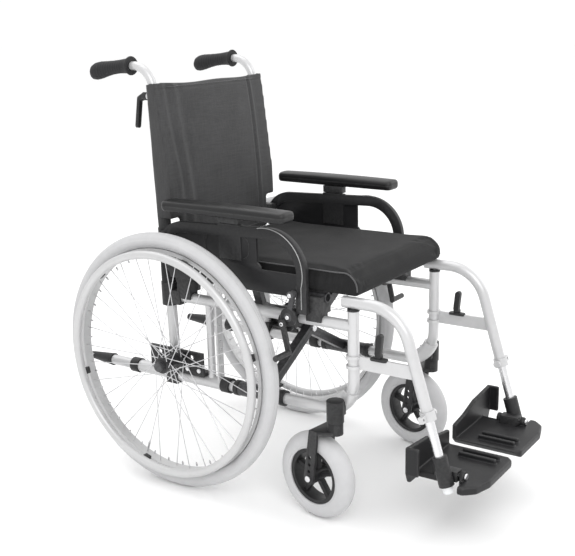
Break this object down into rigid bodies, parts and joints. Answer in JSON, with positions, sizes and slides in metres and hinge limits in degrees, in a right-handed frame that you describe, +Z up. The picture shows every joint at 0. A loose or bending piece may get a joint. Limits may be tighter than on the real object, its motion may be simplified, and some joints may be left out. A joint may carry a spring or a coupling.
{
  "type": "manual wheelchair",
  "caption": "Folding manual wheelchair: silver tube frame, large grey rear wheels with push rims, casters, swing-away footrests, flip-back arms and push handles.",
  "frame": {"origin": "centre of the footprint on the floor", "axes": "+Z up, -Y forwards, +X to the sitter's left"},
  "size_m": [0.606, 1.071, 0.987],
  "materials": {
    "frame_silver": "satin",
    "bright_metal": "polished",
    "black_plastic": "satin",
    "black_steel": "satin",
    "grip_rubber": "matte",
    "pad_foam": "matte",
    "lever_grey": "matte",
    "grey_tyre": "satin",
    "nylon_fabric": "matte"
  },
  "bodies": {
    "right_frame": {"right_side_frame": "frame_silver", "right_frame_fittings": "black_plastic", "right_axle_plate": "black_plastic", "right_caster_housing": "black_plastic", "right_back_cane": "frame_silver", "right_axle_pin": "bright_metal", "seat_cushion": "nylon_fabric", "back_upholstery": "nylon_fabric", "seat_sling": "nylon_fabric"},
    "brace_a": {"brace_bar_a": "black_steel", "left_seat_rail": "black_steel", "brace_pivot_bolt": "bright_metal"},
    "brace_b": {"brace_bar_b": "black_steel", "right_seat_rail": "black_steel"},
    "left_frame": {"left_side_frame": "frame_silver", "left_frame_fittings": "black_plastic", "left_axle_plate": "black_plastic", "left_caster_housing": "black_plastic", "left_back_cane": "frame_silver", "left_axle_pin": "bright_metal"},
    "right_wheel": {"right_wheel_tyre": "grey_tyre", "right_wheel_rim": "bright_metal", "right_wheel_spokes": "bright_metal", "right_wheel_hub": "bright_metal", "right_handrim": "bright_metal"},
    "right_caster_fork": {"right_caster_fork": "black_plastic"},
    "right_caster_wheel": {"right_caster_hub": "black_plastic", "right_caster_tyre": "grey_tyre"},
    "right_push_handle": {"right_push_tube": "frame_silver", "right_push_grip": "grip_rubber"},
    "right_cane_lever": {"right_cane_lever": "black_plastic"},
    "right_arm": {"right_arm_panel": "black_plastic"},
    "right_arm_pad": {"right_arm_pad": "pad_foam"},
    "right_hanger": {"right_hanger": "frame_silver"},
    "right_hanger_lever": {"right_hanger_lever": "black_plastic"},
    "right_footrest": {"right_foot_tube": "bright_metal", "right_foot_bracket": "black_plastic"},
    "right_footplate": {"right_footplate": "black_plastic"},
    "right_brake_lever": {"right_brake_lever": "lever_grey"},
    "right_brake_shoe": {"right_brake_shoe": "black_plastic"},
    "left_wheel": {"left_wheel_tyre": "grey_tyre", "left_wheel_rim": "bright_metal", "left_wheel_spokes": "bright_metal", "left_wheel_hub": "bright_metal", "left_handrim": "bright_metal"},
    "left_caster_fork": {"left_caster_fork": "black_plastic"},
    "left_caster_wheel": {"left_caster_hub": "black_plastic", "left_caster_tyre": "grey_tyre"},
    "left_push_handle": {"left_push_tube": "frame_silver", "left_push_grip": "grip_rubber"},
    "left_cane_lever": {"left_cane_lever": "black_plastic"},
    "left_arm": {"left_arm_panel": "black_plastic"},
    "left_arm_pad": {"left_arm_pad": "pad_foam"},
    "left_hanger": {"left_hanger": "frame_silver"},
    "left_hanger_lever": {"left_hanger_lever": "black_plastic"},
    "left_footrest": {"left_foot_tube": "bright_metal", "left_foot_bracket": "black_plastic"},
    "left_footplate": {"left_footplate": "black_plastic"},
    "left_brake_lever": {"left_brake_lever": "lever_grey"},
    "left_brake_shoe": {"left_brake_shoe": "black_plastic"}
  },
  "joints": [
    {"name": "fold", "type": "hinge", "parent": "right_frame", "child": "brace_a", "pos_m": [-0.189, 0.2155, 0.247], "axis": [0, -1, 0], "range_deg": [0, 41], "deforming": ["seat_sling", "seat_cushion", "back_upholstery"]},
    {"name": "fold_cross", "type": "hinge", "parent": "brace_a", "child": "brace_b", "pos_m": [0, 0.2155, 0.35393], "axis": [0, 1, 0], "range_deg": [0, 82]},
    {"name": "fold_left", "type": "hinge", "parent": "brace_b", "child": "left_frame", "pos_m": [0.189, 0.2155, 0.247], "axis": [0, -1, 0], "range_deg": [0, 41]},
    {"name": "right_wheel_spin", "type": "hinge", "parent": "right_frame", "child": "right_wheel", "pos_m": [-0.2595, 0.2155, 0.305], "axis": [1, 0, 0], "continuous": true},
    {"name": "right_caster_swivel", "type": "hinge", "parent": "right_frame", "child": "right_caster_fork", "pos_m": [-0.227, -0.2145, 0.22], "axis": [0, 0, 1], "continuous": true},
    {"name": "right_caster_spin", "type": "hinge", "parent": "right_caster_fork", "child": "right_caster_wheel", "pos_m": [-0.21931, -0.16307, 0.1], "axis": [0.989, -0.1478, 0], "continuous": true},
    {"name": "right_brake_lever", "type": "hinge", "parent": "right_frame", "child": "right_brake_lever", "pos_m": [-0.22, -0.0975, 0.452], "axis": [1, 0, 0], "range_deg": [0, 40]},
    {"name": "right_brake_shoe", "type": "hinge", "parent": "right_frame", "child": "right_brake_shoe", "pos_m": [-0.229, -0.0875, 0.438], "axis": [1, 0, 0], "range_deg": [0, 10]},
    {"name": "right_hanger_swing", "type": "hinge", "parent": "right_frame", "child": "right_hanger", "pos_m": [-0.189, -0.2385, 0.4], "axis": [0, 0, -1], "range_deg": [0, 90]},
    {"name": "right_hanger_release", "type": "hinge", "parent": "right_hanger", "child": "right_hanger_lever", "pos_m": [-0.189, -0.2995, 0.388], "axis": [-1, 0, 0], "range_deg": [0, 25]},
    {"name": "right_footrest_length", "type": "slide", "parent": "right_hanger", "child": "right_footrest", "axis": [0, -0.2974, -0.9548], "range_m": [-0.03, 0.05]},
    {"name": "right_footplate_flip", "type": "hinge", "parent": "right_footrest", "child": "right_footplate", "pos_m": [-0.165, -0.45459, 0.152], "axis": [0, -1, 0], "range_deg": [0, 90.2]},
    {"name": "right_arm_flip", "type": "hinge", "parent": "right_frame", "child": "right_arm", "pos_m": [-0.206, 0.2425, 0.588], "axis": [-1, 0, 0], "range_deg": [0, 92]},
    {"name": "right_arm_pad_height", "type": "slide", "parent": "right_arm", "child": "right_arm_pad", "axis": [0, 0, 1], "range_m": [0, 0.04]},
    {"name": "right_push_handle_height", "type": "slide", "parent": "right_frame", "child": "right_push_handle", "axis": [0, 0.03, 0.9995], "range_m": [0, 0.1]},
    {"name": "right_cane_lever_turn", "type": "hinge", "parent": "right_frame", "child": "right_cane_lever", "pos_m": [-0.186, 0.27834, 0.9], "axis": [0, 1, 0], "range_deg": [0, 110]},
    {"name": "left_wheel_spin", "type": "hinge", "parent": "left_frame", "child": "left_wheel", "pos_m": [0.2595, 0.2155, 0.305], "axis": [1, 0, 0], "continuous": true},
    {"name": "left_caster_swivel", "type": "hinge", "parent": "left_frame", "child": "left_caster_fork", "pos_m": [0.227, -0.2145, 0.22], "axis": [0, 0, 1], "continuous": true},
    {"name": "left_caster_spin", "type": "hinge", "parent": "left_caster_fork", "child": "left_caster_wheel", "pos_m": [0.23469, -0.16307, 0.1], "axis": [0.989, -0.1478, 0], "continuous": true},
    {"name": "left_brake_lever", "type": "hinge", "parent": "left_frame", "child": "left_brake_lever", "pos_m": [0.22, -0.0975, 0.452], "axis": [1, 0, 0], "range_deg": [0, 40]},
    {"name": "left_brake_shoe", "type": "hinge", "parent": "left_frame", "child": "left_brake_shoe", "pos_m": [0.229, -0.0875, 0.438], "axis": [1, 0, 0], "range_deg": [0, 10]},
    {"name": "left_hanger_swing", "type": "hinge", "parent": "left_frame", "child": "left_hanger", "pos_m": [0.189, -0.2385, 0.4], "axis": [0, 0, 1], "range_deg": [0, 90]},
    {"name": "left_hanger_release", "type": "hinge", "parent": "left_hanger", "child": "left_hanger_lever", "pos_m": [0.189, -0.2995, 0.388], "axis": [-1, 0, 0], "range_deg": [0, 25]},
    {"name": "left_footrest_length", "type": "slide", "parent": "left_hanger", "child": "left_footrest", "axis": [0, -0.2974, -0.9548], "range_m": [-0.03, 0.05]},
    {"name": "left_footplate_flip", "type": "hinge", "parent": "left_footrest", "child": "left_footplate", "pos_m": [0.165, -0.45459, 0.152], "axis": [0, 1, 0], "range_deg": [0, 90.2]},
    {"name": "left_arm_flip", "type": "hinge", "parent": "left_frame", "child": "left_arm", "pos_m": [0.206, 0.2425, 0.588], "axis": [-1, 0, 0], "range_deg": [0, 92]},
    {"name": "left_arm_pad_height", "type": "slide", "parent": "left_arm", "child": "left_arm_pad", "axis": [0, 0, 1], "range_m": [0, 0.04]},
    {"name": "left_push_handle_height", "type": "slide", "parent": "left_frame", "child": "left_push_handle", "axis": [0, 0.03, 0.9995], "range_m": [0, 0.1]},
    {"name": "left_cane_lever_turn", "type": "hinge", "parent": "left_frame", "child": "left_cane_lever", "pos_m": [0.186, 0.27834, 0.9], "axis": [0, -1, 0], "range_deg": [0, 110]}
  ],
  "couplings": [
    {"joint": "fold_cross", "follows": "fold", "ratio": 2},
    {"joint": "fold_left", "follows": "fold", "ratio": 1},
    {"joint": "right_brake_shoe", "follows": "right_brake_lever", "ratio": 0.25},
    {"joint": "right_footplate_flip", "follows": "fold", "ratio": 2.2},
    {"joint": "left_brake_shoe", "follows": "left_brake_lever", "ratio": 0.25},
    {"joint": "left_footplate_flip", "follows": "fold", "ratio": 2.2}
  ]
}
